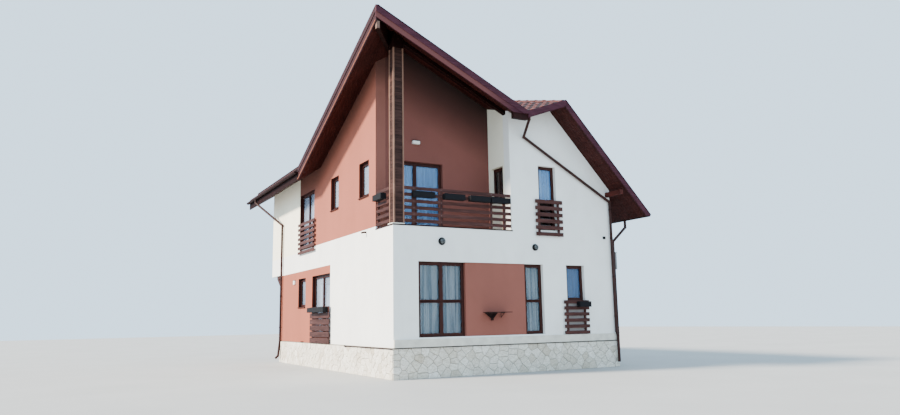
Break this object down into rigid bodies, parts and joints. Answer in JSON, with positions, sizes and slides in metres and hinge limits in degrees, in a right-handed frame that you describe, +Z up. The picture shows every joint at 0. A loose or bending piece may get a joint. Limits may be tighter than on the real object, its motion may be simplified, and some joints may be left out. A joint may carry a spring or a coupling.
{
  "type": "detached house",
  "caption": "Two-storey rendered house on a stone plinth, with a corner loggia under a turned gable, slatted timber railings, boarded eaves and a tiled roof.",
  "frame": {"origin": "underside of the plinth, below the outer corner of the front and left walls", "axes": "+Z up, +Y from the front wall to the back wall, +X along the front wall to the right"},
  "size_m": [9.4003, 13.828, 9.6473],
  "materials": {
    "cream_stone": "split irregular stone cladding",
    "pale_concrete": "trowelled",
    "white_render": "fine grained wall render",
    "brown_render": "fine grained wall render",
    "floor_screed": "smooth",
    "roof_tile": "tile-profile sheet, satin",
    "dark_timber": "stained boards",
    "post_timber": "stained cladding boards",
    "window_timber": "stained, satin",
    "gutter_brown": "coated steel",
    "window_glass": "clear double glazing",
    "trough_grey": "matt",
    "lamp_black": "matt",
    "box_grey": "matt",
    "curtain_white": "sheer net, gathered",
    "rail_white": "satin"
  },
  "bodies": {
    "root": {"plinth": "cream_stone", "front_ledge": "pale_concrete", "ground_floor": "floor_screed", "ground_front_wall": "white_render", "front_panel": "brown_render", "ground_left_wall": "white_render", "ground_right_wall": "white_render", "ground_back_wall": "white_render", "upper_floor": "white_render", "overhang_beams": "white_render", "overhang_braces": "dark_timber", "upper_front_wall": "white_render", "upper_return_wall": "white_render", "upper_recess_wall": "brown_render", "upper_left_wall": "brown_render", "upper_left_rear_wall": "white_render", "upper_right_wall": "white_render", "upper_back_wall": "white_render", "roof_corner_left": "roof_tile", "roof_corner_right": "roof_tile", "roof_small": "roof_tile", "roof_left": "roof_tile", "roof_right": "roof_tile", "soffit": "dark_timber", "left_verge_boards": "dark_timber", "front_verge_boards": "dark_timber", "back_verge_boards": "dark_timber", "eave_boards": "dark_timber", "ridge_caps": "roof_tile", "snow_guard": "gutter_brown", "corner_post": "post_timber", "roof_beams": "dark_timber", "gutters": "gutter_brown", "downpipes": "gutter_brown", "balcony_front_railing": "dark_timber", "balcony_side_railing": "dark_timber", "window_guards": "dark_timber", "left_screen": "dark_timber", "flower_troughs": "trough_grey", "ground_windows": "window_timber", "upper_windows": "window_timber", "ground_glass": "window_glass", "upper_glass": "window_glass", "window_sills": "window_timber", "entrance_door": "window_timber", "wall_lights": "lamp_black", "wall_shelf": "dark_timber", "meter_box": "box_grey", "left_panel": "brown_render", "curtains": "curtain_white", "curtain_rails": "rail_white"}
  },
  "joints": []
}
